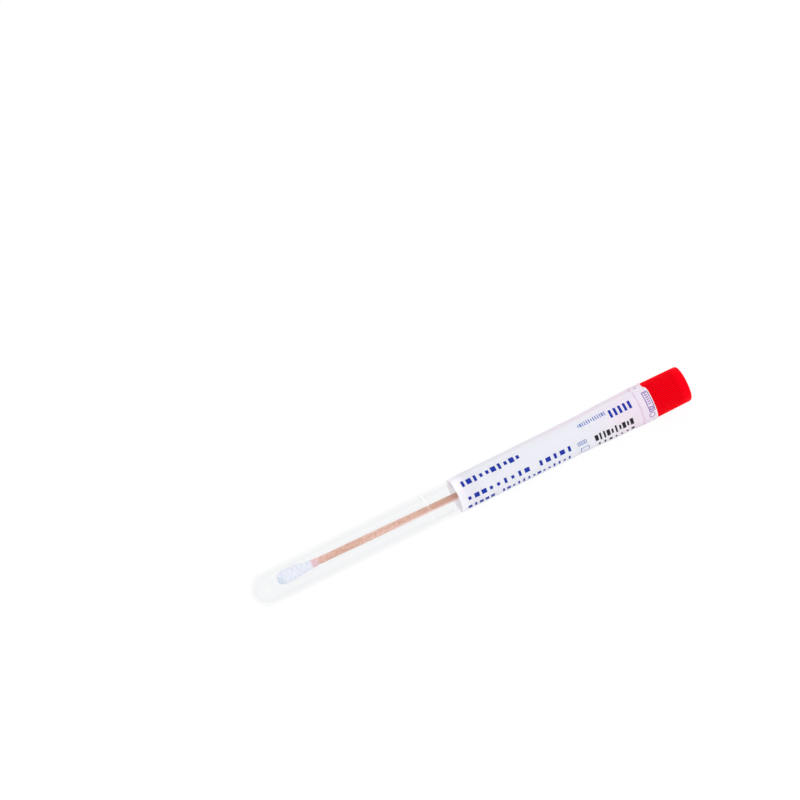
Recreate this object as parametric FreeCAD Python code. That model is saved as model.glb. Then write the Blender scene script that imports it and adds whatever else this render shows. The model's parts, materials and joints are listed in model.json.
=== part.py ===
# Specimen swab tube: a clear round-bottomed tube, a ribbed plug cap with a wooden swab in its socket, and a
# paper label that is wrapped round the tube and laps over the cap as a seal.
#
# Each piece is modelled upright on the tube's axis, with the outermost point of the closed end at height 0.
# The finished pieces are then laid down together, as the tube comes to rest on a table: on its round end and
# on the label's collar. All sizes are in millimetres and all angles in degrees.

import FreeCAD
import Part
import math
import os

Vec = FreeCAD.Vector

# Tube, injection moulded in clear polypropylene
tube_length = 150.0        # closed end to rim
body_radius = 6.15         # outside, of the straight body and its hemispherical end
tube_wall = 1.0
flare_gain = 0.4           # outside radius gained by the flare below the mouth
flare_length = 10.0
mouth_lead_in = 0.3        # chamfer inside the mouth
gate_radius = 0.9          # shallow gate recess in the middle of the round end
gate_depth = 0.25
ring_width = 0.6           # fine witness ridge round the body, below the label
ring_rise = 0.06
ring_below_label = 11.0

# Cap, injection moulded in red polyethylene
head_length = 19.2
shoulder_overhang = 0.2    # head radius beyond the tube's mouth
head_draft = 0.7           # side draft of the head
head_edge = 1.0            # rounding at the closed end
rib_count = 60
groove_depth = 0.22
groove_width = 0.44
groove_run_out = 1.2       # length in which a groove fades away towards the closed end
groove_margin = 0.2        # plain wall left between the grooves and the rounded edge
plug_length = 8.5
plug_fit = 0.03            # radial clearance of the sealing land in the tube
land_rise = 0.12           # sealing land above the plug's own wall
land_width = 1.6
land_below_head = 2.6
plug_wall = 1.0
plug_nose = 0.6            # chamfer at the plug's free end
plug_run_out = 0.5         # straight bore left below the plug
boss_wall = 1.0            # round the stick's socket
core_roof = 2.6            # left above the moulded core pocket
web_count = 4
web_thickness = 0.8
socket_rise = 10.0         # socket's blind end above the rim
socket_lead_in = 0.4
shoulder_gap = 0.02        # between the head and the tube's rim

# Wooden stick, very slightly warped, and its wound tip
stick_radius = 1.25
stick_fit = 0.02           # radial clearance in the socket and in the bud
first_bend_length = 25.0   # bends away from the axis below the cap
first_bend_turn = 1.0
second_bend_length = 40.0  # and bends back across it
stick_lean = 1.16          # slope of the free run, across the axis
bud_clearance = 10.0       # bud's tip above the tube's closed end
bud_length = 16.0
bud_radius = 2.42
bud_tip_flat = 1.1         # radius of the blunt tip
bud_shoulder_drop = 0.42   # radius lost between the barrel and the shoulder of the blunt nose
bud_shoulder = 0.75        # distances from the tip: shoulder, barrel, start and end of the taper
bud_barrel_start = 2.2
bud_taper_start = 6.0
bud_taper_end = 13.5
bud_blend = 2.3            # half the length in which the taper runs out along the wood
bud_overhang = 2.5         # fibre beyond the end of the wood
bud_skin = 0.12            # thickness where the winding runs out on the wood

# Label, one strip of paper wrapped once round with a lapped seam
label_length = 76.3
label_on_cap = 5.3
label_thickness = 0.15
glue_gap = 0.02            # between the tube and the paper
seal_gap = 0.03            # between the cap's ribs and the paper
collar_step = 0.8          # length in which the paper climbs from the tube to the cap
lap_width = 4.6            # seam overlap, measured round the tube
lap_corner = 1.4           # die-cut corners of the lap
seam_angle = 31.3          # free edge of the lap, from the top line of the lying tube to its far side

# Worked out from the above
bore_radius = body_radius - tube_wall
mouth_radius = body_radius + flare_gain
mouth_bore = mouth_radius - tube_wall
straight_mouth = plug_length + plug_run_out
flare_top = tube_length - straight_mouth
flare_base = flare_top - flare_length
label_top = tube_length + label_on_cap
label_base = label_top - label_length
head_base = tube_length + shoulder_gap
head_top = tube_length + head_length
shoulder_radius = mouth_radius + shoulder_overhang
plug_base = tube_length - plug_length
plug_radius = mouth_bore - plug_fit - land_rise
socket_top = tube_length + socket_rise
socket_radius = stick_radius + stick_fit
boss_radius = socket_radius + boss_wall
collar_radius = shoulder_radius + seal_gap


def point(radius, height):
    """A point of a revolved outline, in the plane through the axis."""
    return Vec(radius, 0, height)


def line(start, end):
    return Part.LineSegment(start, end).toShape()


def arc(start, middle, end):
    return Part.Arc(start, middle, end).toShape()


def polyline(corners):
    return [line(a, b) for a, b in zip(corners, corners[1:])]


def revolve(edges):
    """Turn a closed outline of edges once round the axis into a solid."""
    face = Part.Face(Part.Wire(edges))
    return face.revolve(Vec(0, 0, 0), Vec(0, 0, 1), 360)


def rotated_copies(shape, count):
    """Copies of a shape, evenly spaced round the axis."""
    copies = []
    for index in range(count):
        copy = shape.copy()
        copy.rotate(Vec(0, 0, 0), Vec(0, 0, 1), index * 360.0 / count)
        copies.append(copy)
    return copies


def round_end(radius):
    """Quarter circle from the straight wall down to the axis, about the centre of the tube's round end."""
    diagonal = radius * math.sin(math.radians(45))
    lowest = point(0, body_radius - radius)
    return arc(point(radius, body_radius), point(diagonal, body_radius - diagonal), lowest)


def wall_corners(offset, base):
    """Corners of the tube's side above a height, at a distance outside it: straight, flared and straight."""
    corners = [point(body_radius + offset, base), point(body_radius + offset, flare_base),
               point(mouth_radius + offset, flare_top)]
    return [corner for corner in corners if corner.z >= base]


# ---- tube

def tube_body():
    """Wall of the tube with its witness ridge, its flare and a lead-in for the plug inside the mouth."""
    ring_height = label_base - ring_below_label
    ring_low = ring_height - ring_width / 2
    ring_high = ring_height + ring_width / 2
    outside = [point(body_radius, body_radius), point(body_radius, ring_low),
               point(body_radius + ring_rise, ring_height)]
    outside += wall_corners(0, ring_high) + [point(mouth_radius, tube_length)]
    inside = wall_corners(-tube_wall, body_radius) + [point(mouth_bore, tube_length - mouth_lead_in),
                                                      point(mouth_bore + mouth_lead_in, tube_length)]
    edges = [round_end(body_radius)] + polyline(outside + inside[::-1])
    edges += [round_end(bore_radius), line(point(0, tube_wall), point(0, 0))]
    return revolve(edges)


def make_tube():
    gate = Part.makeCylinder(gate_radius, gate_depth)
    return tube_body().cut(gate)


# ---- cap

def head_blank():
    """Plain drafted head with its rounded closed end."""
    slope = math.radians(head_draft)
    top_radius = shoulder_radius - head_length * math.tan(slope)
    blank = revolve(polyline([point(0, head_base), point(shoulder_radius, head_base),
                              point(top_radius, head_top), point(0, head_top), point(0, head_base)]))
    top_face = max(blank.Faces, key=lambda face: face.CenterOfMass.z)
    return blank.makeFillet(head_edge, top_face.Edges)


def grip_grooves():
    """V-shaped grooves up the head's side, fading away below its rounding; the ribs are what is left."""
    overrun = 1.0
    fade_top = head_top - head_edge - groove_margin

    def section(height, depth):
        crest = shoulder_radius - (height - head_base) * math.tan(math.radians(head_draft))
        half_width = groove_width / 2 * (depth + overrun) / groove_depth
        root = Vec(crest - depth, 0, height)
        left = Vec(crest + overrun, -half_width, height)
        right = Vec(crest + overrun, half_width, height)
        return Part.makePolygon([root, right, left, root])

    groove = Part.makeLoft([section(head_base - overrun, groove_depth),
                            section(fade_top - groove_run_out, groove_depth),
                            section(fade_top + groove_run_out, -groove_depth)], True, True)
    return rotated_copies(groove, rib_count)


def plug_blank():
    """Plug with its chamfered nose and raised sealing land, reaching a little up into the head."""
    land_top = head_base - land_below_head
    land_base = land_top - land_width
    land_radius = plug_radius + land_rise
    overlap = head_base + plug_wall
    return revolve(polyline([point(0, plug_base), point(plug_radius - plug_nose, plug_base),
                             point(plug_radius, plug_base + plug_nose),
                             point(plug_radius, land_base), point(land_radius, land_base),
                             point(land_radius, land_top), point(plug_radius, land_top),
                             point(plug_radius, overlap), point(0, overlap), point(0, plug_base)]))


def core_pocket():
    """Ring-shaped pocket moulded up into the cap round the stick's boss, with thin webs left in the head."""
    depth = head_top - core_roof - plug_base
    base = Vec(0, 0, plug_base)
    outer = Part.makeCylinder(plug_radius - plug_wall, depth, base)
    boss = Part.makeCylinder(boss_radius, depth, base)
    web = Part.makeBox(plug_radius, web_thickness, head_length, Vec(0, -web_thickness / 2, head_base))
    return outer.cut([boss] + rotated_copies(web, web_count))


def stick_socket():
    """Blind bore for the stick with a conical mouth."""
    bore = Part.makeCylinder(socket_radius, socket_top - plug_base, Vec(0, 0, plug_base))
    mouth_width = socket_radius + socket_lead_in
    mouth = Part.makeCone(mouth_width, socket_radius, socket_lead_in, Vec(0, 0, plug_base))
    return bore.fuse(mouth)


def make_cap():
    head = head_blank().cut(grip_grooves())
    body = head.fuse(plug_blank()).removeSplitter()
    return body.cut([core_pocket(), stick_socket()])


# ---- swab

def bend(start, slope, length, turn):
    """Arc of a route down the axis that bends sideways: from a slope, over a length, by a turn."""
    radius = length / math.radians(turn)

    def along(share):
        first = math.radians(slope)
        heading = math.radians(slope + turn * share)
        sideways = radius * (math.cos(first) - math.cos(heading))
        down = radius * (math.sin(heading) - math.sin(first))
        return start + Vec(0, sideways, -down)

    return arc(start, along(0.5), along(1)), along(1)


def stick_route():
    """Straight seat in the socket, two slight bends and a straight run; also the run's end and direction."""
    seat_top = Vec(0, 0, socket_top - stick_fit)
    seat_base = Vec(0, 0, plug_base)
    first, first_end = bend(seat_base, 0, first_bend_length, first_bend_turn)
    second, second_end = bend(first_end, first_bend_turn, second_bend_length, -first_bend_turn - stick_lean)
    lean = math.radians(stick_lean)
    direction = Vec(0, -math.sin(lean), -math.cos(lean))
    run_length = (second_end.z - bud_clearance - bud_overhang) / math.cos(lean)
    run_end = second_end + direction * run_length
    route = Part.Wire([line(seat_top, seat_base), first, second, line(second_end, run_end)])
    return route, run_end, direction


def make_stick():
    route, _, _ = stick_route()
    top = Vec(0, 0, socket_top - stick_fit)
    section = Part.Wire(Part.Circle(top, Vec(0, 0, 1), stick_radius).toShape())
    return route.makePipeShell([section], True, False)


def bud_outline():
    """Outline of the winding: blunt nose, barrel, and a taper that blends into a thin skin on the wood."""
    skin_radius = stick_radius + stick_fit + bud_skin
    taper = math.atan2(bud_radius - skin_radius, bud_taper_end - bud_taper_start)
    blend_radius = bud_blend / math.tan(taper / 2)

    def on_blend(angle):
        return point(skin_radius + blend_radius * (1 - math.cos(angle)),
                     bud_taper_end + bud_blend - blend_radius * math.sin(angle))

    edges = polyline([point(0, 0), point(bud_tip_flat, 0),
                      point(bud_radius - bud_shoulder_drop, bud_shoulder),
                      point(bud_radius, bud_barrel_start), point(bud_radius, bud_taper_start),
                      on_blend(taper)])
    edges.append(arc(on_blend(taper), on_blend(taper / 2), on_blend(0)))
    edges += polyline([on_blend(0), point(skin_radius, bud_length), point(0, bud_length), point(0, 0)])
    return edges


def make_bud():
    """Wound tip on the stick's end, thinning to a skin of fibre on the wood."""
    _, run_end, direction = stick_route()
    bore = Part.makeCylinder(stick_radius + stick_fit, bud_length, Vec(0, 0, bud_overhang - stick_fit))
    bud = revolve(bud_outline()).cut(bore)
    tip = run_end + direction * bud_overhang
    bud.Placement = FreeCAD.Placement(tip, FreeCAD.Rotation(Vec(0, 0, 1), direction * -1))
    return bud


# ---- label

def label_inside():
    """Inside outline of the wrapped paper, from its base along the tube and up onto the cap."""
    return wall_corners(glue_gap, label_base) + [point(mouth_radius + glue_gap, tube_length - collar_step),
                                                 point(collar_radius, tube_length),
                                                 point(collar_radius, label_top)]


def paper_layer(offset):
    """One thickness of paper, at a distance outside the label's inside outline."""
    inner = [corner + Vec(offset, 0, 0) for corner in label_inside()]
    outer = [corner + Vec(label_thickness, 0, 0) for corner in inner]
    return revolve(polyline(inner + outer[::-1] + inner[:1]))


def lap_block():
    """Block that reaches out through the seam's lap; the corners of its free edge are rounded as die-cut."""
    reach = collar_radius * 2
    block = Part.makeBox(reach, lap_width, label_length, Vec(0, 0, label_base))
    free_face = min(block.Faces, key=lambda face: face.CenterOfMass.y)
    corners = [edge for edge in free_face.Edges if edge.BoundBox.XLength > reach / 2]
    return block.makeFillet(lap_corner, corners)


def make_label():
    lap = paper_layer(label_thickness).common(lap_block())
    label = paper_layer(0).fuse(lap)
    label.rotate(Vec(0, 0, 0), Vec(0, 0, 1), -seam_angle)
    return label


# ---- resting pose

def lying_pose(pieces):
    """Placement that lays the upright assembly on the ground, with its box centred over the origin."""
    collar = collar_radius + label_thickness
    reach = tube_length - body_radius
    lean = math.acos(body_radius / math.hypot(collar, reach)) - math.atan2(reach, collar)
    along = Vec(math.cos(lean), 0, math.sin(lean))
    up = Vec(-math.sin(lean), 0, math.cos(lean))
    turn = FreeCAD.Rotation(up, Vec(0, -1, 0), along, "ZXY")
    height = body_radius * (1 - along.z)
    laid = Part.makeCompound(pieces)
    laid.Placement = FreeCAD.Placement(Vec(0, 0, height), turn)
    box = laid.optimalBoundingBox(False, False)
    return FreeCAD.Placement(Vec(-box.Center.x, 0, height), turn)


def main():
    pieces = {
        "tube": make_tube(),
        "cap": make_cap(),
        "swab_stick": make_stick(),
        "swab_bud": make_bud(),
        "label": make_label(),
    }
    pose = lying_pose(list(pieces.values()))
    os.makedirs("parts", exist_ok=True)
    for name, shape in pieces.items():
        shape.Placement = pose.multiply(shape.Placement)
        shape.exportStep(os.path.join("parts", name + ".step"))
        print(f"{name}: {len(shape.Solids)} solid, {shape.Volume:.1f} cubic mm, valid {shape.isValid()}")
    return pieces, pose


main()
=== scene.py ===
import json
import math

import bpy
from mathutils import Matrix, Vector


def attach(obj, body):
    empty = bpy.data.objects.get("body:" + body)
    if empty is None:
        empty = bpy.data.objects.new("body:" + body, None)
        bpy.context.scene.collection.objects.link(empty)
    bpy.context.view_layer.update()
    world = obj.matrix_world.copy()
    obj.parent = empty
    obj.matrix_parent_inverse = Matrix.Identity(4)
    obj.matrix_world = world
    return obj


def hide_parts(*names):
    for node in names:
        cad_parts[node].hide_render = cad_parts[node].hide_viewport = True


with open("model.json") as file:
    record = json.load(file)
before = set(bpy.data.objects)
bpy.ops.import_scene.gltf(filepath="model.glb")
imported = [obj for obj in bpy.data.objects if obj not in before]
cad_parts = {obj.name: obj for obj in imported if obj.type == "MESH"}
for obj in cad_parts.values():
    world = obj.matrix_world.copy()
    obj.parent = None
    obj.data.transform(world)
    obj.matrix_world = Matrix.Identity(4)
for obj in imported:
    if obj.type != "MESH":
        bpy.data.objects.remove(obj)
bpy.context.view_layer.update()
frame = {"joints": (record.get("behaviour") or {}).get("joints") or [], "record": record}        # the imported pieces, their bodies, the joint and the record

# Every piece is made standing, in millimetres: the closed end at height 0, x towards the top of the lying
# tube and y towards the viewer. Then its mesh is laid down along the joint's axis, in metres.
mounts = {mount["name"]: mount for mount in frame["record"]["mounts"]}
along = Vector(frame["joints"][0]["axis"]).normalized()
near = Vector((0, -1, 0))
up = near.cross(along)
overallLength = 169.2
millimetre = 0.001
foot = Vector(mounts["cap_end"]["pos_m"]) - along * overallLength * millimetre
turn = Matrix((up, near, along)).transposed().to_4x4()
laid = Matrix.Translation(foot) @ turn @ Matrix.Scale(millimetre, 4)
softCrease = math.radians(34)      # edges bent further than this look sharp


def eased(share):
    share = min(max(share, 0), 1)
    return share * share * (3 - 2 * share)


def around(radius, angle, height):
    turned = math.radians(angle)     # 0 is the top line, 90 the near side
    return (radius * math.cos(turned), radius * math.sin(turned), height)


def steps(start, end, count):
    return [start + (end - start) * index / count for index in range(count + 1)]


def bowl(size, middle, start, end, count):
    # a round end's outline, by the angle from its lowest point
    return [(size * math.sin(math.radians(a)), middle - size * math.cos(math.radians(a)))
            for a in steps(start, end, count)]


def roundedEdge(radius, top, edge, start, count):
    # an outline from the side to the top, by the angle above the side
    return [(radius - edge + edge * math.cos(math.radians(a)), top - edge + edge * math.sin(math.radians(a)))
            for a in steps(start, 90, count)]


def finishMesh(name, points, faces, corners):
    mesh = bpy.data.meshes.new(name)
    mesh.from_pydata(points, [], faces)
    layer = mesh.uv_layers.new(name="surface")
    layer.data.foreach_set("uv", [value for corner in corners for value in corner])
    mesh.shade_smooth()
    mesh.set_sharp_from_angle(angle=softCrease)
    return mesh


def lathe(name, outline, columns, aroundScale):
    # u runs round and v along the outline, both in millimetres
    points, rings = [], []
    for radius, height in outline:
        if radius < 1e-6:
            rings.append([len(points)] * columns)
            points.append((0, 0, height))
        else:
            rings.append(range(len(points), len(points) + columns))
            points += [around(radius, 360 * column / columns, height) for column in range(columns)]
    travelled = [0]
    for (r1, h1), (r2, h2) in zip(outline, outline[1:]):
        travelled.append(travelled[-1] + math.hypot(r2 - r1, h2 - h1))
    across = math.tau * aroundScale / columns
    faces, corners = [], []
    for row in range(len(rings) - 1):
        for column in range(columns):
            after = (column + 1) % columns
            loop = [(rings[row][column], column, row), (rings[row][after], column + 1, row),
                    (rings[row + 1][after], column + 1, row + 1), (rings[row + 1][column], column, row + 1)]
            if loop[0][0] == loop[1][0]:
                del loop[1]
            elif loop[2][0] == loop[3][0]:
                del loop[2]
            faces.append([corner[0] for corner in loop])
            corners += [(corner[1] * across, travelled[corner[2]]) for corner in loop]
    return finishMesh(name, points, faces, corners)


def linked(name, data):
    made = bpy.data.objects.new(name, data)
    bpy.context.scene.collection.objects.link(made)
    return made


def lay(name, mesh, body, node, slot, *materials):
    # places a standing mesh and lets it stand for its CAD piece
    mesh.transform(laid)
    piece = linked(name, mesh)
    if materials:
        mesh.materials.clear()
        for material in materials:
            mesh.materials.append(material)
    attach(piece, body)
    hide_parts(node)


class Wire:
    # a node's output
    def __init__(self, graph, socket):
        self.graph, self.socket = graph, socket


# Sums and products of wires become maths nodes, so that a pattern reads as a formula.
for sign, operation in (("add", "ADD"), ("sub", "SUBTRACT"), ("mul", "MULTIPLY"), ("truediv", "DIVIDE")):
    setattr(Wire, f"__{sign}__", lambda one, other, kind=operation: one.graph.maths(kind, one, other))
    setattr(Wire, f"__r{sign}__", lambda one, other, kind=operation: one.graph.maths(kind, other, one))


class Graph:
    # a node tree being written
    def __init__(self, tree):
        self.tree = tree

    def fill(self, node, inputs):
        for key, value in inputs.items():
            socket = node.inputs[key]
            if isinstance(value, Wire):
                self.tree.links.new(value.socket, socket)
            else:
                socket.default_value = (*value, 1) if socket.type == "RGBA" else value

    def node(self, kind, inputs=None, **settings):
        made = self.tree.nodes.new(kind)
        for key, value in settings.items():
            setattr(made, key, value)
        self.fill(made, inputs or {})
        return made

    def add(self, kind, inputs=None, out=0, **settings):
        # gives one output, or a list of them where several are named
        outputs = self.node(kind, inputs, **settings).outputs
        if isinstance(out, tuple):
            return [Wire(self, outputs[key]) for key in out]
        return Wire(self, outputs[out])

    def maths(self, operation, *values):
        return self.add("ShaderNodeMath", dict(enumerate(values)), operation=operation)

    def most(self, first, *others):
        for other in others:
            first = self.maths("MAXIMUM", first, other)
        return first

    def vector(self, x, y, z):
        return self.add("ShaderNodeCombineXYZ", {0: x, 1: y, 2: z})

    def split(self, vector):
        return self.add("ShaderNodeSeparateXYZ", {0: vector}, out=(0, 1, 2))

    def place(self):
        return self.add("ShaderNodeTexCoord", out="Object")

    def surfaceUv(self, x, y):
        # the piece's own millimetre map, stretched to the size of a pattern
        source = self.add("ShaderNodeUVMap", out="UV", uv_map="surface")
        return self.add("ShaderNodeMapping", {"Vector": source, "Scale": (x, y, 1)}, out="Vector")

    def heightAlong(self):
        # millimetres from the round end, in a material
        return self.add("ShaderNodeVectorMath", {0: self.place(), 1: tuple(along * 1000)}, out="Value",
                        operation="DOT_PRODUCT") - foot.dot(along) * 1000

    def between(self, value, start, end, low=0.0, high=1.0, smooth=False):
        # low up to the start and high from the end
        return self.add("ShaderNodeMapRange",
                        {"Value": value, "From Min": start, "From Max": end, "To Min": low, "To Max": high},
                        interpolation_type="SMOOTHSTEP" if smooth else "LINEAR")

    def pulse(self, value, middle, halfWidth):
        # 1 at the middle, falling to 0 at half a width on each side
        return self.between(self.maths("ABSOLUTE", value - middle), halfWidth, 0.0, smooth=True)

    def noise(self, vector, scale=1.0, detail=2.0, roughness=0.5):
        return self.add("ShaderNodeTexNoise", {"Vector": vector, "Scale": scale, "Detail": detail,
                                               "Roughness": roughness}, out="Fac")

    def ramp(self, factor, *stops):
        made = self.node("ShaderNodeValToRGB", {"Fac": factor})
        for element, (place, colour) in zip(made.color_ramp.elements, stops):
            element.position = place
            element.color = (*colour, 1)
        return Wire(self, made.outputs["Color"])

    def mix(self, factor, first, second, blend="MIX"):
        return self.add("ShaderNodeMix", {0: factor, 6: first, 7: second}, out=2, data_type="RGBA",
                        blend_type=blend)

    def bump(self, height, strength, distance):
        return self.add("ShaderNodeBump", {"Height": height, "Strength": strength, "Distance": distance})

    def mixShader(self, share, first, second):
        return self.add("ShaderNodeMixShader", {0: share, 1: first, 2: second})

    def seenRays(self):
        # 1 for what the camera sees, straight or through gloss and clear plastic
        return self.most(*self.add("ShaderNodeLightPath", out=("Is Camera Ray", "Is Glossy Ray",
                                                               "Is Transmission Ray")))

    def join(self, *pieces):
        joined = self.tree.nodes.new("GeometryNodeJoinGeometry")
        for piece in pieces:
            self.tree.links.new(piece.socket, joined.inputs[0])
        return Wire(self, joined.outputs[0])

    def onPoints(self, points, instance, inputs=None):
        return self.add("GeometryNodeInstanceOnPoints", {"Points": points, "Instance": instance,
                                                         **(inputs or {})})

    def real(self, geometry):
        return self.add("GeometryNodeRealizeInstances", {0: geometry})

    def coated(self, geometry, material):
        return self.add("GeometryNodeSetMaterial", {"Geometry": geometry, "Material": material})

    def firstHit(self, target, across, up, height, start):
        # where a level ray towards the axis meets the target, and the ray's direction
        inwards = self.vector(across * -1.0, up * -1.0, 0.0)
        outside = self.vector(across * start, up * start, height)
        hit = self.add("GeometryNodeRaycast", {"Target Geometry": target, "Source Position": outside,
                                               "Ray Direction": inwards, "Ray Length": 20.0},
                       out="Hit Position")
        return hit, inwards


class Paint(Graph):
    # a material's tree, round its own plain surface
    def __init__(self, name):
        self.material = bpy.data.materials.new(name)
        self.material.use_nodes = True
        super().__init__(self.material.node_tree)
        self.surface = self.tree.nodes["Principled BSDF"]
        self.plain = Wire(self, self.surface.outputs[0])

    def look(self, inputs):
        self.fill(self.surface, inputs)
        return self.material

    def show(self, shader):
        self.fill(self.tree.nodes["Material Output"], {"Surface": shader})
        return self.material


class Recipe(Graph):
    # a geometry tree with a named input for each size and one for its material
    def __init__(self, name, sizes, coat):
        super().__init__(bpy.data.node_groups.new(name, "GeometryNodeTree"))
        kinds = {"Geometry": "Geometry", **{size: "Float" for size in sizes}, coat: "Material"}
        kinds.update({size: "Int" for size in sizes if size.endswith("count") or size in ("Seed", "Kind")})
        for key, kind in kinds.items():
            self.tree.interface.new_socket(key, in_out="INPUT", socket_type="NodeSocket" + kind)
        self.tree.interface.new_socket("Geometry", in_out="OUTPUT", socket_type="NodeSocketGeometry")
        self.given = {socket.name: Wire(self, socket) for socket in self.node("NodeGroupInput").outputs}

    def finish(self, geometry):
        self.node("NodeGroupOutput", {0: geometry})
        return self.tree


def growMesh(name, base, tree, settings):
    # runs a geometry tree on a mesh, once for each set of values, and keeps only the plain result
    maker = linked(name + "Maker", base)
    sockets = {item.name: item.identifier for item in tree.interface.items_tree if item.in_out == "INPUT"}
    for number, values in enumerate(settings):
        modifier = maker.modifiers.new("tree" + str(number), "NODES")
        modifier.node_group = tree
        for key, value in values.items():
            modifier[sockets[key]] = value
    grown = maker.evaluated_get(bpy.context.evaluated_depsgraph_get())
    mesh = bpy.data.meshes.new_from_object(grown)
    mesh.name = name
    bpy.data.objects.remove(maker)
    return mesh


# Camera, light and floor
studio = {
    "aim": (-0.00427, 0.04308, 0.0),
    "distance": 3.0,
    "elevation": 67.5,
    "heading": 27.9,
    "lens": 387.6,
    "sensor": 36,
    "skyLight": 1.17,
    "keyPower": 4.0,
    "keySize": 1.6,
    "keyDistance": 1.8,
    "towardsKey": (-0.2, -0.4, 1.0),
    "floorReach": 6,
    "floorGlow": 0.93,
    "turnsInClear": 32,       # reflections followed inside the clear wall
}


def makeStudio(values):
    scene = bpy.context.scene
    scene.view_settings.view_transform = "Standard"
    for kind in ("max_bounces", "glossy_bounces", "transmission_bounces"):
        setattr(scene.cycles, kind, values["turnsInClear"])
    elevation, heading = math.radians(values["elevation"]), math.radians(values["heading"])
    ahead = Vector((math.sin(heading) * math.cos(elevation), math.cos(heading) * math.cos(elevation),
                    -math.sin(elevation)))
    aim = Vector(values["aim"])
    camera = linked("camera", bpy.data.cameras.new("camera"))
    camera.data.lens = values["lens"]
    camera.data.sensor_width = values["sensor"]
    camera.location = aim - ahead * values["distance"]
    camera.rotation_euler = ahead.to_track_quat("-Z", "Y").to_euler()
    scene.camera = camera

    lamp = bpy.data.lights.new("key", "AREA")
    lamp.shape = "DISK"
    lamp.size = values["keySize"]
    lamp.energy = values["keyPower"]
    key = linked("key", lamp)
    toKey = Vector(values["towardsKey"]).normalized()
    key.location = aim + toKey * values["keyDistance"]
    key.rotation_euler = (-toKey).to_track_quat("-Z", "Y").to_euler()
    for kind in ("visible_camera", "visible_glossy", "visible_transmission"):
        setattr(key, kind, False)

    world = bpy.data.worlds.new("studio")
    scene.world = world
    world.use_nodes = True
    sky = Graph(world.node_tree)
    strength = sky.seenRays() * (1 - values["skyLight"]) + values["skyLight"]
    sky.fill(sky.tree.nodes["Background"], {"Color": (1, 1, 1), "Strength": strength})

    reach = values["floorReach"]
    ground = bpy.data.meshes.new("floor")
    ground.from_pydata([(-reach, -reach, 0), (reach, -reach, 0), (reach, reach, 0), (-reach, reach, 0)],
                       [], [(0, 1, 2, 3)])
    floor = linked("floor", ground)
    paint = Paint("paleFloor")
    paint.look({"Base Color": (0.95, 0.95, 0.95), "Roughness": 0.9, "Specular IOR Level": 0})
    glow = paint.add("ShaderNodeEmission", {"Color": (1, 1, 1), "Strength": 1.0})
    share = paint.seenRays() * values["floorGlow"]
    ground.materials.append(paint.show(paint.mixShader(share, paint.plain, glow)))


makeStudio(studio)
print("studio made")

# Tube: clear moulded polypropylene
tube = {
    "length": 150.0,
    "radius": 6.15,
    "wall": 1.0,
    "flareGain": 0.4,
    "flareStart": 128.0,
    "flareEnd": 141.0,
    "ringHeight": 68.0,
    "ringWidth": 0.7,
    "ringRise": 0.06,
    "ringPaintedGlint": 0.15,         # how much of the witness ring is painted milky white, as a painted highlight along its ridge
    "gateRadius": 0.9,
    "gateDepth": 0.25,
    "rimRounding": 0.22,
    "mouthLead": 0.3,
    "columns": 144,
    "endSteps": 26,
    "tint": (0.985, 0.99, 0.992),
    "roughness": 0.05,
    "outerFilm": ((0.969, 0.971, 0.973), (0.976, 0.978, 0.980)),      # light let through, in streaks
    "boreFilm": ((0.984, 0.986, 0.988), (0.990, 0.992, 0.994)),
    "paintedDomeHighlight": (5.6, 24.0, 5.2),      # radius, angle and height of a painted highlight, where the clear film lets more light through
    "paintedDomeHighlightSize": 1.9,
    "clearShare": 0.981,      # how much of the wall lets light straight through
}


def tubeRadius(height):
    span = tube["flareEnd"] - tube["flareStart"]
    return tube["radius"] + tube["flareGain"] * eased((height - tube["flareStart"]) / span)


def tubeOutline(values):
    radius, wall, gate, depth = values["radius"], values["wall"], values["gateRadius"], values["gateDepth"]
    outline = [(0, depth), (gate - 0.12, depth), (gate - 0.03, depth - 0.06)]
    outline += bowl(radius, radius, math.degrees(math.asin(gate / radius)), 90, values["endSteps"])
    for share in steps(-0.5, 0.5, 8):
        rise = values["ringRise"] * math.cos(share * math.pi) ** 2
        outline.append((radius + rise, values["ringHeight"] + share * values["ringWidth"]))
    flare = steps(values["flareStart"], values["flareEnd"], 14)
    outline += [(tubeRadius(height), height) for height in flare]
    mouth, top, lead = radius + values["flareGain"], values["length"], values["mouthLead"]
    outline += roundedEdge(mouth, top, values["rimRounding"], 0, 5)
    outline += [(mouth - wall + lead, top), (mouth - wall + lead * 0.3, top - lead * 0.3),
                (mouth - wall, top - lead)]
    outline += [(tubeRadius(height) - wall, height) for height in reversed(flare)]
    outline += bowl(radius - wall, radius, 90, 0, values["endSteps"])
    outline[-1] = (0, outline[-1][1])
    return outline


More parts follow.
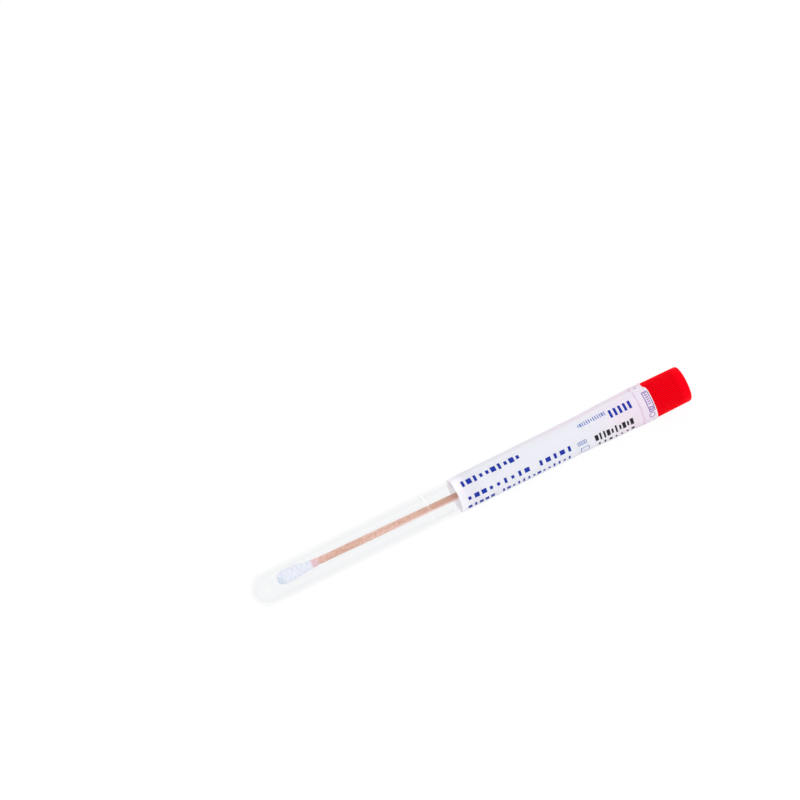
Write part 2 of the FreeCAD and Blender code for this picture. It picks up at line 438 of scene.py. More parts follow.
def clearPlastic(values):
    paint = Paint("clearPolypropylene")
    streaks = paint.noise(paint.surfaceUv(0.7, 0.012))
    paint.look({"Normal": paint.bump(streaks, 0.1, 0.00003), "Base Color": values["tint"], "IOR": 1.49,
                "Roughness": values["roughness"], "Transmission Weight": 1})
    outer, inner = (paint.ramp(streaks, (0.32, thin), (0.68, thick))
                    for thin, thick in (values["outerFilm"], values["boreFilm"]))
    # the outline's length tells the outside of the wall from the bore
    travelled = paint.split(paint.surfaceUv(1, 1))[1]
    haze = paint.mix(paint.between(travelled, values["length"] + 3.0, values["length"] + 5.0), outer, inner)
    # painted highlight: round one point on the dome the film turns white, so the wall looks lit there
    spot = tuple(laid @ Vector(around(*values["paintedDomeHighlight"])))
    away = paint.add("ShaderNodeVectorMath", {0: paint.place(), 1: spot}, out="Value", operation="DISTANCE")
    bright = paint.pulse(away, 0.0, values["paintedDomeHighlightSize"] * millimetre)
    film = paint.add("ShaderNodeBsdfTransparent", {"Color": paint.mix(bright, haze, (1, 1, 1))})
    body = paint.mixShader(values["clearShare"], paint.plain, film)
    # painted highlight: a milky white band on the real witness ring stands in for the glint along its ridge
    glintWhite = paint.add("ShaderNodeBsdfDiffuse", {"Color": (0.95, 0.96, 0.97)})
    onRing = paint.pulse(paint.heightAlong(), values["ringHeight"], values["ringWidth"] / 2)
    through = paint.add("ShaderNodeBsdfTransparent", {"Color": (0.98, 0.985, 0.99)})
    shadow = paint.add("ShaderNodeLightPath", out="Is Shadow Ray")
    ringed = paint.mixShader(onRing * values["ringPaintedGlint"], body, glintWhite)
    return paint.show(paint.mixShader(shadow, ringed, through))


tubeMesh = lathe("tubeWall", tubeOutline(tube), tube["columns"], tube["radius"])
lay("tube_wall", tubeMesh, "tube", "tube", "tube", clearPlastic(tube))
print("tube made")

# Cap: red moulded polyethylene, with ribs, a hollow plug, webs and the stick's socket
cap = {
    "base": 150.02,
    "top": 169.2,
    "radius": 6.75,
    "draft": 0.7,
    "edge": 1.0,
    "ribCount": 60,
    "grooveDepth": 0.22,
    "grooveWidth": 0.46,
    "grooveTop": 168.0,
    "grooveFade": 1.2,
    "columnsPerRib": 8,
    "plugBase": 141.5,
    "plugRadius": 5.4,
    "plugWall": 1.0,
    "plugNose": 0.6,
    "landRise": 0.12,
    "landBase": 145.82,
    "landTop": 147.42,
    "pocketTop": 166.6,
    "bossRadius": 2.27,
    "socketRadius": 1.27,
    "socketTop": 160.0,
    "socketLead": 0.4,
    "webCount": 4,
    "webThickness": 0.8,
    "webOverlap": 0.1,        # how far a web runs into the walls it joins
    "sharpEdge": 50,
    "colour": (0.93, 0.0, 0.008),
    # painted shade: a darker red for the shade that falls in the grooves
    "grooveShadeColour": (0.36, 0.0, 0.001),
    "roughness": 0.42,
}


def capOutline(values):
    slope = math.tan(math.radians(values["draft"]))
    base, top, radius = values["base"], values["top"], values["radius"]
    plug, end, nose = values["plugRadius"], values["plugBase"], values["plugNose"]
    socket, boss, lead = values["socketRadius"], values["bossRadius"], values["socketLead"]
    pocket, ceiling, seat = plug - values["plugWall"], values["pocketTop"], values["socketTop"]
    land, low, high = plug + values["landRise"], values["landBase"], values["landTop"]
    outline = [(0, seat), (socket - 0.1, seat), (socket, seat - 0.1), (socket, end + lead),
               (socket + lead, end), (boss - 0.08, end), (boss, end + 0.08), (boss, ceiling - 0.25),
               (boss + 0.25, ceiling), (pocket - 0.25, ceiling), (pocket, ceiling - 0.25),
               (pocket, end + 0.12), (pocket + 0.12, end), (plug - nose, end), (plug, end + nose),
               (plug, low - 0.05), (land - 0.02, low + 0.1), (land, low + 0.2), (land, high - 0.2),
               (land - 0.02, high - 0.1), (plug, high + 0.05), (plug, base), (radius - 0.06, base),
               (radius, base + 0.06)]
    fadeFrom = values["grooveTop"] - 2 * values["grooveFade"]
    side = [base + 0.08] + steps(base + 1, fadeFrom, 6) + steps(fadeFrom, values["grooveTop"], 10)[1:]
    outline += [(radius - (height - base) * slope, height) for height in side]
    outline += roundedEdge(radius - (top - base) * slope, top, values["edge"], 6, 12)
    return outline + [(0, top)]


def capSizes(values):
    overlap = values["webOverlap"]
    return {"Rib count": values["ribCount"], "Groove depth": values["grooveDepth"],
            "Groove width": values["grooveWidth"], "Groove top": values["grooveTop"],
            "Groove fade": values["grooveFade"], "Side from": values["base"] - 0.01,
            "Side outside": values["radius"] - 0.45,
            "Web count": values["webCount"], "Web thickness": values["webThickness"],
            "Web inside": values["bossRadius"] - overlap,
            "Web outside": values["plugRadius"] - values["plugWall"] + overlap,
            "Web base": values["base"], "Web top": values["pocketTop"] + overlap}


def capTree(sizes):
    graph = Recipe("ribbedCap", sizes, "Plastic")
    given, maths = graph.given, graph.maths

    # grooves: each point of the side moves inwards by its place across the nearest groove
    x, y, z = graph.split(graph.add("GeometryNodeInputPosition"))
    radius = maths("SQRT", x * x + y * y)
    turns = maths("ARCTAN2", y, x) / math.tau * given["Rib count"]
    offset = maths("FRACT", turns + 100.5) - 0.5
    arc = maths("ABSOLUTE", offset * (radius * math.tau / given["Rib count"]))
    shape = graph.between(1.0 - arc * 2.0 / given["Groove width"], -0.12, 1.12, smooth=True)
    fade = graph.between(z, given["Groove top"], given["Groove top"] - given["Groove fade"] * 2.0)
    share = (radius - shape * fade * given["Groove depth"]) / radius
    onSide = (maths("GREATER_THAN", radius, given["Side outside"])
              * maths("GREATER_THAN", z, given["Side from"]))
    ribbed = graph.add("GeometryNodeSetPosition", {"Geometry": given["Geometry"], "Selection": onSide,
                                                   "Position": graph.vector(x * share, y * share, z)})
    marked = graph.add("GeometryNodeStoreNamedAttribute",
                       {"Geometry": ribbed, "Name": "groove", "Value": onSide * (shape * fade)},
                       data_type="FLOAT", domain="POINT")

    # webs: one thin wall, repeated round the socket's boss
    inside, outside, base, top = (given["Web " + end] for end in ("inside", "outside", "base", "top"))
    block = graph.add("GeometryNodeMeshCube",
                      {"Size": graph.vector(outside - inside, given["Web thickness"], top - base)})
    middle = graph.vector((outside + inside) * 0.5, 0.0, (top + base) * 0.5)
    shifted = graph.add("GeometryNodeTransform", {"Geometry": block, "Translation": middle})
    marks = graph.add("GeometryNodeMeshLine", {"Count": given["Web count"], "Offset": (0.0, 0.0, 0.0)})
    turned = graph.add("GeometryNodeInputIndex") * math.tau / given["Web count"]
    webs = graph.onPoints(marks, shifted, {"Rotation": graph.vector(0.0, 0.0, turned)})
    return graph.finish(graph.coated(graph.real(graph.join(webs, marked)), given["Plastic"]))


def redPlastic(values):
    paint = Paint("redPolyethylene")
    coords = paint.place()
    grain = paint.noise(coords, 2600.0, 3.0)
    deep = tuple(channel * 0.94 for channel in values["colour"])
    plain = paint.mix(paint.noise(coords, 160.0), deep, values["colour"])
    # painted shade: the red turns darker along each groove's depth, as shade in the grooves
    inGroove = paint.add("ShaderNodeAttribute", out="Fac", attribute_name="groove")
    rough = paint.between(grain, 0, 1, values["roughness"] - 0.05, values["roughness"] + 0.07)
    return paint.look({"Base Color": paint.mix(inGroove, plain, values["grooveShadeColour"]), "Roughness": rough,
                       "Normal": paint.bump(grain, 0.25, 0.00002), "Specular IOR Level": 0.02})


capMaterial = redPlastic(cap)
capBase = lathe("capBlank", capOutline(cap), cap["ribCount"] * cap["columnsPerRib"], cap["radius"])
ribSizes = capSizes(cap)
capMesh = growMesh("capMesh", capBase, capTree(ribSizes), [{**ribSizes, "Plastic": capMaterial}])
capMesh.shade_smooth()
capMesh.set_sharp_from_angle(angle=math.radians(cap["sharpEdge"]))
lay("cap_moulding", capMesh, "swab", "cap", "cap", capMaterial)
print("cap made")

# Stick: a slightly warped birch shaft, held in the cap's socket
stick = {
    "radius": 1.25,
    "top": 159.98,
    "seatBase": 141.5,
    "bends": ((25.0, 1.0), (40.0, -2.16)),      # lengths below the seat and the degrees gained in each
    "end": 12.5,
    "overhang": 2.5,
    "columns": 32,
    "step": 0.8,
    "lightWood": (0.745, 0.495, 0.42),
    "darkWood": (0.535, 0.295, 0.22),
    "labelShadeFrom": (58.0, 80.0),      # heights between which the wood is painted darker, as shade towards and under the label
    "pinkWood": (0.86, 0.66, 0.64),
    "pinkAcross": 1.75,       # place round the shaft of a paler, pink strip of grain
    "pinkHalfWidth": 0.9,
    "pinkFrom": (46.0, 62.0),
}


def leaning(slope):
    # the way down the shaft, straight at 0 and else towards the near side
    return Vector((0, math.sin(slope), -math.cos(slope)))


def stickRoute(values):
    # points down the shaft, with the slope towards the near side at each
    place, slope = Vector((0, 0, values["top"])), 0.0
    route = [(place.copy(), slope)]
    for length, gained in ((values["top"] - values["seatBase"], 0.0), *values["bends"]):
        count = round(length / values["step"])
        for index in range(count):
            middle = math.radians(slope + gained * (index + 0.5) / count)
            place = place + leaning(middle) * length / count
            route.append((place.copy(), slope + gained * (index + 1) / count))
        slope += gained
    heading = leaning(math.radians(slope))
    length = (place.z - values["end"]) / -heading.z
    count = round(length / values["step"])
    route += [(place + heading * length * index / count, slope) for index in range(1, count + 1)]
    return route, heading


def stickMesh(values, route):
    columns, points = values["columns"], []
    for place, slope in route:
        tilt = math.radians(slope)
        side = Vector((0, math.cos(tilt), math.sin(tilt)))
        for column in range(columns):
            angle = math.tau * column / columns
            wave = (1 + 0.006 * math.sin(3 * angle + place.z * 0.11)
                    + 0.005 * math.sin(2 * angle - place.z * 0.19))
            points.append(place + (Vector((1, 0, 0)) * math.cos(angle) + side * math.sin(angle))
                          * values["radius"] * min(wave, 1.0))
    faces, corners = [], []
    across = math.tau * values["radius"] / columns
    for row in range(len(route) - 1):
        for column in range(columns):
            after = (column + 1) % columns
            faces.append([row * columns + column, (row + 1) * columns + column,
                          (row + 1) * columns + after, row * columns + after])
            top, low = route[row][0].z, route[row + 1][0].z
            corners += [(column * across, top), (column * across, low), ((column + 1) * across, low),
                        ((column + 1) * across, top)]
    for row, order in ((0, 1), (len(route) - 1, -1)):
        loop = list(range(row * columns, (row + 1) * columns))[::order]
        faces.append(loop)
        corners += [(points[index].x, points[index].y) for index in loop]
    return finishMesh("stickMesh", points, faces, corners)


def birch(values):
    paint = Paint("birchShaft")
    grain = paint.noise(paint.surfaceUv(2.4, 0.22), 1.0, 4.0, 0.65)
    speck = paint.noise(paint.surfaceUv(1.7, 1.2), 1.0, 2.0, 0.6)
    pores = paint.noise(paint.surfaceUv(7.0, 0.7))
    patch = paint.noise(paint.surfaceUv(0.25, 0.06), 1.0, 1.0)
    mottled = grain * 0.25 + speck * 0.75 + (patch - 0.5) * 0.35
    tone = paint.ramp(mottled, (0.42, values["darkWood"]), (0.56, values["lightWood"]))
    dark = tuple(channel * 0.7 for channel in values["darkWood"])
    stained = paint.mix(paint.ramp(pores, (0.60, (0, 0, 0)), (0.70, (0.8, 0.8, 0.8))), tone, dark)
    height = paint.heightAlong()
    # painted shade: the wood darkens towards the label and stays dark inside it
    shadedNearLabel = paint.mix(paint.between(height, *values["labelShadeFrom"], high=0.95), stained, values["darkWood"])
    across = paint.split(paint.surfaceUv(1, 1))[0]
    stripe = (paint.pulse(across, values["pinkAcross"], values["pinkHalfWidth"])
              * paint.between(height, *values["pinkFrom"], high=0.95))
    return paint.look({"Base Color": paint.mix(stripe, shadedNearLabel, values["pinkWood"]),
                       "Normal": paint.bump(grain + pores * -0.5, 0.4, 0.00004),
                       "Roughness": paint.between(grain, 0, 1, 0.55, 0.75), "Specular IOR Level": 0.25})


route, stickHeading = stickRoute(stick)
lay("wooden_stick", stickMesh(stick, route), "swab", "swab_stick", "swab_stick", birch(stick))
print("stick made")

# Bud: viscose fibre wound on the shaft's end
bud = {
    "length": 16.0,
    "profile": ((0.4, 0.55), (0.5, 1.0), (0.8, 1.5), (1.5, 2.02), (2.9, 2.33), (4.8, 2.40), (6.8, 2.32),
                (8.8, 2.1), (10.3, 1.86), (11.8, 1.64), (13.3, 1.46), (14.6, 1.36), (16.0, 1.30)),
    "hollowRadius": 1.24,
    "hollowBase": 3.0,
    "columns": 96,
    "mapRadius": 2.0,
    "strandCount": 9,
    "strandTurns": 2.6,
    "strandRadius": 0.06,
    "strandPoints": 150,
    "hairCount": 900,
    "hairArea": 210.0,        # square millimetres they are spread over
    "hairLength": 0.5,
    "hairRadius": 0.008,
    "seed": 11,
    "threadPitch": 1.9,
    "colour": (0.80, 0.815, 0.875),
    "threadColour": (0.58, 0.62, 0.74),
    "coldLitTipColour": (0.56, 0.66, 0.75),
    "coldLitTipFrom": (13.2, 10.6),      # heights between which the near side of the tip is painted blue, as cold light on it
    "neckColour": (0.76, 0.46, 0.475),
    "neckStain": 2.6,         # how far the neck's pink reaches
}


def smoothProfile(stops, perSpan):
    # a Catmull-Rom line through the stops, as (height, radius)
    line = []
    for index in range(len(stops) - 1):
        a, b, c, d = (stops[min(max(index + shift, 0), len(stops) - 1)] for shift in (-1, 0, 1, 2))
        for step in range(perSpan):
            t = step / perSpan
            line.append(tuple(0.5 * (2 * b[k] + (c[k] - a[k]) * t
                                     + (2 * a[k] - 5 * b[k] + 4 * c[k] - d[k]) * t * t
                                     + (3 * b[k] - a[k] - 3 * c[k] + d[k]) * t ** 3) for k in (0, 1)))
    return line + [stops[-1]]


def budOutline(values):
    line = smoothProfile(values["profile"], 4)
    outline = [(0, line[0][0] - 0.06)] + [(radius, height) for height, radius in line]
    inside, floor = values["hollowRadius"], values["hollowBase"]
    return outline + [(inside, values["length"]), (inside, floor), (0, floor)]


def budTree(values):
    sizes = {"Strand count": values["strandCount"], "Strand turns": values["strandTurns"],
             "Strand radius": values["strandRadius"], "Length": values["length"],
             "Hair count": values["hairCount"], "Hair length": values["hairLength"],
             "Hair radius": values["hairRadius"], "Seed": values["seed"]}
    graph = Recipe("woundFibre", sizes, "Fibre")
    given, count = graph.given, values["strandPoints"]

    def thickened(curve, resolution, radius):
        section = graph.add("GeometryNodeCurvePrimitiveCircle", {"Resolution": resolution, "Radius": radius})
        return graph.add("GeometryNodeCurveToMesh",
                         {"Curve": curve, "Profile Curve": section, "Fill Caps": True})

    # strands: helices shrunk on to the winding from outside
    marks = graph.add("GeometryNodeMeshLine", {"Count": given["Strand count"], "Offset": (0.0, 0.0, 0.0)})
    straight = graph.add("GeometryNodeCurvePrimitiveLine", {"Start": (0.0, 0.0, 0.0), "End": (0.0, 0.0, 1.0)})
    fine = graph.add("GeometryNodeResampleCurve", {"Curve": straight, "Count": count})
    loose = graph.real(graph.onPoints(marks, fine))
    which = graph.maths("FLOOR", graph.add("GeometryNodeInputIndex") / float(count))
    share = graph.add("GeometryNodeSplineParameter", out="Factor")
    wander = graph.add("FunctionNodeRandomValue", {"ID": which, "Seed": given["Seed"]}, out=1)
    wound = share * given["Strand turns"] * (0.8 + wander * 0.4) * math.tau
    angle = (which + wander) * (math.tau / given["Strand count"]) + wound
    level = 1.3 + share * (given["Length"] - 1.5)
    hit, inwards = graph.firstHit(given["Geometry"], graph.maths("COSINE", angle), graph.maths("SINE", angle),
                                  level, 4.0)
    snug = graph.add("GeometryNodeSetPosition", {"Geometry": loose, "Position": hit})
    roped = thickened(snug, 5, given["Strand radius"])

    # loose hairs: short bent fibres that stand a little off the surface
    density = given["Hair count"] / values["hairArea"]
    roots, upright = graph.add("GeometryNodeDistributePointsOnFaces",
                               {"Mesh": given["Geometry"], "Density": density, "Seed": given["Seed"]},
                               out=(0, "Rotation"))
    arch = graph.add("GeometryNodeCurveQuadraticBezier",
                     {"Resolution": 5, "Start": (0.0, 0.0, -0.02), "Middle": (0.0, 0.12, 0.5),
                      "End": (0.0, 0.55, 0.8)})
    long = graph.vector(*[given["Hair length"]] * 3)
    fibre = thickened(graph.add("GeometryNodeTransform", {"Geometry": arch, "Scale": long}), 3,
                      given["Hair radius"])
    turnBy = graph.add("FunctionNodeRandomValue", {"Min": (-0.9, -0.9, 0.0), "Max": (0.9, 0.9, 6.28),
                                                   "Seed": given["Seed"]}, data_type="FLOAT_VECTOR")
    leaned = graph.add("FunctionNodeRotateRotation", {0: upright, 1: turnBy}, rotation_space="LOCAL")
    sizeBy = graph.add("FunctionNodeRandomValue", {2: 0.35, 3: 1.0, "Seed": given["Seed"]}, out=1)
    fuzz = graph.onPoints(roots, fibre, {"Rotation": leaned, "Scale": sizeBy})
    both = graph.real(graph.join(fuzz, roped, given["Geometry"]))
    return graph.finish(graph.coated(both, given["Fibre"])), sizes


def viscose(values):
    paint = Paint("woundViscose")
    coords, height = paint.place(), paint.heightAlong()
    fibres = paint.noise(coords, 1500.0, 4.0, 0.7)
    wound = paint.split(paint.surfaceUv(1, 1))[0]
    wraps = [(wound * lean + height) / values["threadPitch"] for lean in (0.8, -0.8)]
    thread = paint.most(*[paint.pulse(paint.maths("FRACT", wrap), 0.5, 0.17) for wrap in wraps])
    neckEdge = values["neckHeight"] - values["neckStain"]
    stained = paint.between(height, neckEdge - 0.3, neckEdge + 0.3) * (1.0 - thread * 0.7)
    crossed = paint.mix(thread * 0.6, values["colour"], values["threadColour"])
    base = paint.mix(stained, crossed, values["neckColour"])
    side = values["nearSide"]
    # painted light: the near side of the tip turns blue, for cold light falling on it
    low = paint.between(paint.split(coords)[1], side + 0.0012, side - 0.0012)
    base = paint.mix(low * paint.between(height, *values["coldLitTipFrom"]), base, values["coldLitTipColour"])
    fleck = paint.ramp(fibres, (0.3, (0.68, 0.68, 0.74)), (0.6, (1, 1, 1)))
    return paint.look({"Base Color": paint.mix(0.35, base, fleck, "MULTIPLY"),
                       "Normal": paint.bump(fibres + thread * 0.6, 0.6, 0.00006), "Roughness": 0.85,
                       "Sheen Weight": 0.2, "Sheen Roughness": 0.4, "Specular IOR Level": 0.15})


budTip = route[-1][0] + stickHeading * stick["overhang"]
budTurn = Vector((0, 0, 1)).rotation_difference(-stickHeading).to_matrix().to_4x4()
bud["neckHeight"] = budTip.z - stickHeading.z * bud["length"]
bud["nearSide"] = (laid @ budTip).y
budMaterial = viscose(bud)
windingTree, windingSizes = budTree(bud)
budBase = lathe("budBlank", budOutline(bud), bud["columns"], bud["mapRadius"])
budMesh = growMesh("budMesh", budBase, windingTree, [{**windingSizes, "Fibre": budMaterial}])
budMesh.transform(Matrix.Translation(budTip) @ budTurn)
budMesh.shade_smooth()
lay("wound_bud", budMesh, "swab", "swab_bud", "swab_bud", budMaterial)
print("bud made")

# Label: one strip of paper wrapped once round, its end lapped on the far side of the top
label = {
    "base": 79.0,
    "top": 155.3,
    "gap": 0.02,
    "air": 0.01,
    "thickness": 0.14,
    "collarRadius": 6.78,
    "mapRadius": 6.3,
    "evenTo": 127,            # height where the rows of points get closer
    "climbFrom": 145.6,
    "climbTo": 149.95,
    "seam": -31.3,
    "lapTurn": 40.0,
    "lapEase": 14.0,
    "lapDrop": 0.9,           # how far the strip's hidden end sits below its free end at the cap
    "dropFrom": 290,          # degrees past the seam where that begins, and how many it takes
    "dropOver": 60,
    "corner": 2.2,
    "angleStep": 3.0,
    "paper": (0.915, 0.93, 0.99),
    # painted light: the paper turns pink from red light of the cap showing through it, strongest over the
    # plug
    "paperInCapLight": (0.97, 0.86, 0.98),
    "pinkFrom": (126.0, 148.0),
    "farCapLightFrom": (98.0, 128.0),      # the same painted pink light on the far side, beyond this place round the tube
    "farSide": (29.0, 35.0),
    # whiter along the top end, with a painted highlight along the free edge
    "paleEdgePaper": (0.985, 0.985, 0.99),
    "backPaper": (0.985, 0.94, 0.96),
    "wavyFrom": (138.0, 149.0),
    "creaseHeight": 150.1,
    # painted shade: a darker pink line along the crease
    "creaseShade": (0.70, 0.47, 0.72),
    "letsThrough": 0.42,
    "endLetsThrough": 0.95,      # the open end takes more of its light from inside
    "endReach": 9,
    "backLetsThrough": 0.35,
    "backGlow": 0.35,         # painted light: the sticky side glows at the open end, standing in for light that reaches it there
    "glowColour": (0.99, 0.87, 0.93),
    "glowReach": 6,
    "film": 0.03,
}


def labelInside(height):
    climb = eased((height - label["climbFrom"]) / (label["climbTo"] - label["climbFrom"]))
    onTube = tubeRadius(height) + label["gap"]
    return onTube + (label["collarRadius"] - onTube) * climb


def labelTop(angle):
    # the strip is wrapped a little crooked, so its far end comes out lower
    past = (angle - label["seam"] - label["dropFrom"]) / label["dropOver"]
    return label["top"] - label["lapDrop"] * eased(past)


def labelSheet(values):
    seam, lapped = values["seam"], values["seam"] + values["lapTurn"]
    angles = [seam + turned for turned in (0, 0.4, 1, 2, 3.2, 4.6, 6.2, 8, 10, 12.5)]
    angles += steps(seam + 15, lapped, 8) + steps(lapped, lapped + values["lapEase"], 6)[1:]
    end = seam + 360 + values["lapTurn"]
    angles += steps(angles[-1], end, round((end - angles[-1]) / values["angleStep"]))[1:]
    heights = [values["base"]]
    for height, count in ((values["evenTo"], 32), (values["climbFrom"], 22), (values["climbTo"], 8),
                          (values["top"], 8)):
        heights += steps(heights[-1], height, count)[1:]
    inner, outer, flat = [], [], []
    for height in heights:
        rows = ([], [], [])
        for angle in angles:
            distance = math.radians(angle - seam) * values["collarRadius"]
            short = max(values["corner"] - distance, 0)
            inset = values["corner"] - math.sqrt(max(values["corner"] ** 2 - short ** 2, 0))
            place = min(max(height, values["base"] + inset), labelTop(angle) - inset)
            past = (angle - seam - values["lapTurn"]) / values["lapEase"]
            lift = (values["thickness"] + values["air"]) * (1 - eased(past))
            radius = labelInside(place) + lift
            rows[0].append(around(radius, angle, place))
            rows[1].append(around(radius + values["thickness"], angle, place))
            rows[2].append((math.radians(angle) * values["mapRadius"], place))
        inner.append(rows[0])
        outer.append(rows[1])
        flat.append(rows[2])
    return inner, outer, flat


def shell(name, inner, outer, flat):
    # closes two grids of points into one sheet with a thickness
    rows, columns = len(inner), len(inner[0])
    points = [point for grid in (inner, outer) for row in grid for point in row]
    maps = [place for row in flat for place in row]
    faces, corners = [], []

    def face(*loop):
        faces.append(loop)
        corners.extend(maps[index % (rows * columns)] for index in loop)

    top = rows * columns
    for row in range(rows - 1):
        for column in range(columns - 1):
            a, b = row * columns + column, (row + 1) * columns + column
            face(a, b, b + 1, a + 1)
            face(top + a, top + a + 1, top + b + 1, top + b)
    for column in range(columns - 1):
        a, b = column, (rows - 1) * columns + column
        face(a, a + 1, top + a + 1, top + a)
        face(b, top + b, top + b + 1, b + 1)
    for row in range(rows - 1):
        a, b = row * columns, (row + 1) * columns
        face(a, top + a, top + b, b)
        a, b = a + columns - 1, b + columns - 1
        face(a, b, top + b, top + a)
    mesh = finishMesh(name, points, faces, corners)
    for number in range(0, 2 * (rows - 1) * (columns - 1), 2):
        mesh.polygons[number].material_index = 1      # the sticky side
    return mesh


def labelBack(values):
    paint = Paint("labelBack")
    fibres = paint.noise(paint.surfaceUv(4, 4), 1.0, 3.0, 0.6)
    dull = tuple(channel * 0.97 for channel in values["backPaper"])
    height = paint.split(paint.surfaceUv(1, 1))[1]
    # painted light: the sticky side glows near the open end, though it is no lamp
    nearEnd = paint.between(height, values["base"] + values["glowReach"], values["base"])
    paint.look({"Base Color": paint.ramp(fibres, (0.35, dull), (0.65, values["backPaper"])),
                "Roughness": 0.5, "Specular IOR Level": 0.2,
                "Emission Color": paint.mix(nearEnd, (0, 0, 0), values["glowColour"]),
                "Emission Strength": values["backGlow"]})
    glow = paint.add("ShaderNodeBsdfTranslucent", {"Color": (0.985, 0.98, 0.99)})
    return paint.show(paint.mixShader(values["backLetsThrough"], paint.plain, glow))


def labelPaper(values):
    paint = Paint("labelPaper")
    across, height, _ = paint.split(paint.surfaceUv(1, 1))
    # painted light: pink from the red cap near the cap and along the far side, in patches
    farSideCapLight = (paint.between(across, *values["farSide"], smooth=True)
               * paint.between(height, *values["farCapLightFrom"]))
    capLightShare = paint.most(paint.between(height, *values["pinkFrom"], smooth=True), farSideCapLight)
    cloud = paint.noise(paint.surfaceUv(0.25, 0.18), 1.0, 3.0)
    patchy = paint.maths("MINIMUM", capLightShare * (0.6 + cloud * 0.7), 1.0)
    colour = paint.mix(patchy, values["paper"], values["paperInCapLight"])
    # painted shade: a thin darker pink line along the crease where the paper climbs on to the cap, with a
    # dent in the bump
    crooked = height + (paint.noise(paint.surfaceUv(0.16, 0)) - 0.5) * 1.6
    fold = paint.pulse(crooked, values["creaseHeight"], 0.5) * 0.7
    creased = paint.mix(fold, colour, values["creaseShade"])
    # painted highlight along the free edge at the seam; the top end is whiter too
    seamHighlight = paint.pulse(across, math.radians(values["seam"]) * values["mapRadius"], 1.0)
    endSide = paint.between(height, values["top"] - 0.75, values["top"] - 0.45)
    cut = paint.mix(paint.most(seamHighlight, endSide), creased, values["paleEdgePaper"])
    fibres = paint.noise(paint.surfaceUv(6, 6), 1.0, 4.0, 0.6)
    fleck = paint.ramp(fibres, (0.35, (0.97, 0.97, 0.975)), (0.6, (1, 1, 1)))
    wavy = paint.noise(paint.surfaceUv(0.35, 0.22)) * paint.between(height, *values["wavyFrom"])
    relief = wavy * 6.0 + fibres * 0.25 - fold * 2.0
    paint.look({"Base Color": paint.mix(1.0, cut, fleck, "MULTIPLY"),
                "Normal": paint.bump(relief, 0.5, 0.00005), "Roughness": 0.62, "Specular IOR Level": 0.25})
    glow = paint.add("ShaderNodeBsdfTranslucent", {"Color": (0.95, 0.97, 0.995)})
    share = paint.between(height, values["base"], values["base"] + values["endReach"],
                          values["endLetsThrough"], values["letsThrough"])
    return paint.show(paint.mixShader(share, paint.plain, glow))


def ink(name, colour):
    # a printed colour, a little thin where the paper's fibres show
    paint = Paint(name)
    thin = paint.noise(paint.place(), 3200.0, 3.0, 0.6)
    pale = tuple(channel + (0.9 - channel) * 0.05 for channel in colour)
    faded = paint.ramp(thin, (0.52, (0, 0, 0)), (0.72, (1, 1, 1)))
    return paint.look({"Base Color": paint.mix(faded, colour, pale), "Normal": paint.bump(thin, 0.2, 0.00001),
                       "Roughness": 0.5, "Specular IOR Level": 0.2})


# Print: each row is a run of plain marks that follows the label's outside
markKinds = {"mixed": 0, "box": 1, "bar": 2, "ring": 3}
markBlocks = {"bar": (0.5, 1.0), "short": (0.55, 0.6), "broad": (0.95, 0.85)}      # shares of a mark's size
printRadius = 6.6
printRows = [
    # colour, kind, start height, angle, length, count, mark width, mark height, stroke, turned
    ("blueInk", "mixed", 81.1, -4.0, 23.8, 10, 2.0, 2.35, 0.52, 0),
    ("blueInk", "mixed", 81.1, 47.0, 25.2, 9, 2.0, 2.15, 0.54, 0),
    ("blueInk", "mixed", 109.0, 47.0, 13.9, 5, 2.0, 2.15, 0.54, 0),
    ("blueInk", "mixed", 80.8, 82.0, 11.0, 5, 1.5, 2.0, 0.42, 0),
    ("blueInk", "mixed", 94.0, 82.0, 27.8, 14, 1.45, 1.9, 0.42, 0),
    ("paleInk", "mixed", 127.2, -5.5, 11.1, 13, 0.7, 1.55, 0.26, 0),
    ("blueInk", "bar", 138.8, 5.0, 9.3, 5, 1.9, 2.75, 0.62, 0),
    ("paleInk", "box", 124.7, 48.0, 3.6, 1, 3.35, 1.5, 0.24, 0),
    ("paleInk", "bar", 125.3, 48.0, 2.4, 4, 0.5, 0.7, 0.22, 0),
    ("paleInk", "box", 125.2, 78.0, 3.6, 1, 3.3, 2.6, 0.24, 0),
    ("blackInk", "mixed", 131.2, 55.5, 15.2, 10, 1.3, 2.9, 0.55, 0),
    ("blackInk", "mixed", 131.5, 85.0, 15.1, 7, 1.2, 1.7, 0.42, 0),
    ("violetInk", "box", 153.8, -11.0, 7.6, 1, 7.4, 2.3, 0.28, 1),
    ("violetInk", "bar", 153.8, -8.0, 4.6, 6, 0.56, 1.05, 0.26, 1),
    ("violetInk", "box", 153.8, 36.5, 1.5, 1, 1.25, 1.4, 0.3, 1),
    ("violetInk", "ring", 153.3, 56.0, 2.3, 1, 2.0, 2.0, 0.24, 1),
    ("violetInk", "ring", 151.8, -39.0, 0.5, 1, 0.3, 0.3, 0.3, 0),
]
rowNames = ("Start height", "Angle", "Length", "Mark count", "Mark width", "Mark height", "Stroke", "Turned")
inkColours = {
    "blueInk": (0.0, 0.018, 0.30),
    "paleInk": (0.13, 0.19, 0.47),
    "blackInk": (0.006, 0.006, 0.009),
    "violetInk": (0.19, 0.11, 0.40),
}


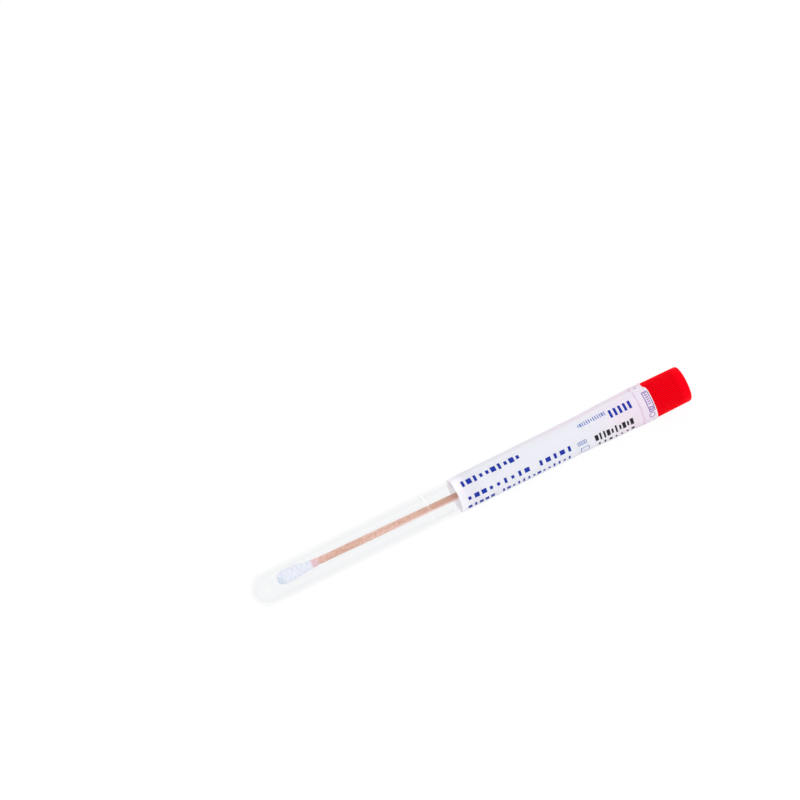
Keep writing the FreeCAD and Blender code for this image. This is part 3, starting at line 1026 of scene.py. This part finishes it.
def printTree():
    graph = Recipe("printedMarks", (*rowNames, "Film", "Kind", "Seed"), "Ink")
    given = graph.given
    wide, tall, stroke, turned = (given[name] for name in ("Mark width", "Mark height", "Stroke", "Turned"))

    # the kinds of mark, flat and centred
    section = graph.add("GeometryNodeCurvePrimitiveQuadrilateral", {"Width": stroke, "Height": stroke})

    def drawn(curve, cuts):
        fine = graph.add("GeometryNodeSubdivideCurve", {"Curve": curve, "Cuts": cuts})
        return graph.add("GeometryNodeCurveToMesh", {"Curve": fine, "Profile Curve": section})

    box = graph.add("GeometryNodeCurvePrimitiveQuadrilateral",
                    {"Width": wide - stroke, "Height": tall - stroke})
    ring = graph.add("GeometryNodeCurvePrimitiveCircle", {"Resolution": 28, "Radius": wide * 0.5})
    shapes = {"box": drawn(box, 16), "ring": drawn(ring, 1)}
    for key, (part, height) in markBlocks.items():
        size = graph.vector(wide * part, tall * height, stroke)
        shapes[key] = graph.add("GeometryNodeMeshCube", {"Size": size, "Vertices Y": 8})
    single = {key: graph.add("GeometryNodeGeometryToInstance", {0: shape}) for key, shape in shapes.items()}
    mixed = graph.join(single["broad"], single["bar"], single["short"])
    chosen = graph.node("GeometryNodeIndexSwitch", data_type="GEOMETRY")
    for _ in range(len(markKinds) - 2):
        chosen.index_switch_items.new()
    graph.fill(chosen, dict(enumerate((given["Kind"], mixed, single["box"], single["bar"], single["ring"]))))

    # one mark at each place of the row
    pitch = given["Length"] / given["Mark count"]
    places = graph.add("GeometryNodeMeshLine", {"Count": given["Mark count"],
                                                "Start Location": graph.vector(pitch * 0.5, 0.0, 0.0),
                                                "Offset": graph.vector(pitch, 0.0, 0.0)})
    lot = graph.add("FunctionNodeRandomValue", {4: 0, 5: 2, "Seed": given["Seed"]}, out=2, data_type="INT")
    marks = graph.real(graph.onPoints(places, Wire(graph, chosen.outputs[0]),
                                      {"Pick Instance": True, "Instance Index": lot}))

    # wrapped: the row's length and width become height and angle, then each point drops on to the paper
    x, y, z = graph.split(graph.add("GeometryNodeInputPosition"))
    upright = 1.0 - turned
    height = given["Start height"] + (x * upright + y * turned)
    angle = graph.maths("RADIANS", given["Angle"]) + (y * upright + x * turned) / printRadius
    hit, inwards = graph.firstHit(given["Geometry"], graph.maths("COSINE", angle), graph.maths("SINE", angle),
                                  height, 12.0)
    proud = z * (given["Film"] / stroke) * -1.0
    stand = graph.add("ShaderNodeVectorMath", {0: inwards, "Scale": proud}, operation="SCALE")
    place = graph.add("ShaderNodeVectorMath", {0: hit, 1: stand}, operation="ADD")
    wrapped = graph.add("GeometryNodeSetPosition", {"Geometry": marks, "Position": place})
    return graph.finish(graph.join(graph.coated(wrapped, given["Ink"]), given["Geometry"]))


def printSettings(rows):
    inks = {name: ink(name, colour) for name, colour in inkColours.items()}
    settings = []
    for number, (colour, kind, *numbers, turned) in enumerate(rows):
        settings.append({**dict(zip(rowNames, (*numbers, float(turned)))), "Ink": inks[colour],
                         "Kind": markKinds[kind], "Film": label["film"], "Seed": 5 + number})
    return settings


paper = labelPaper(label)
labelBase = shell("labelSheet", *labelSheet(label))
labelBase.materials.append(paper)
labelBase.materials.append(labelBack(label))
labelMesh = growMesh("labelMesh", labelBase, printTree(), printSettings(printRows))
lay("paper_label", labelMesh, "tube", "label", "label")
print("label made")
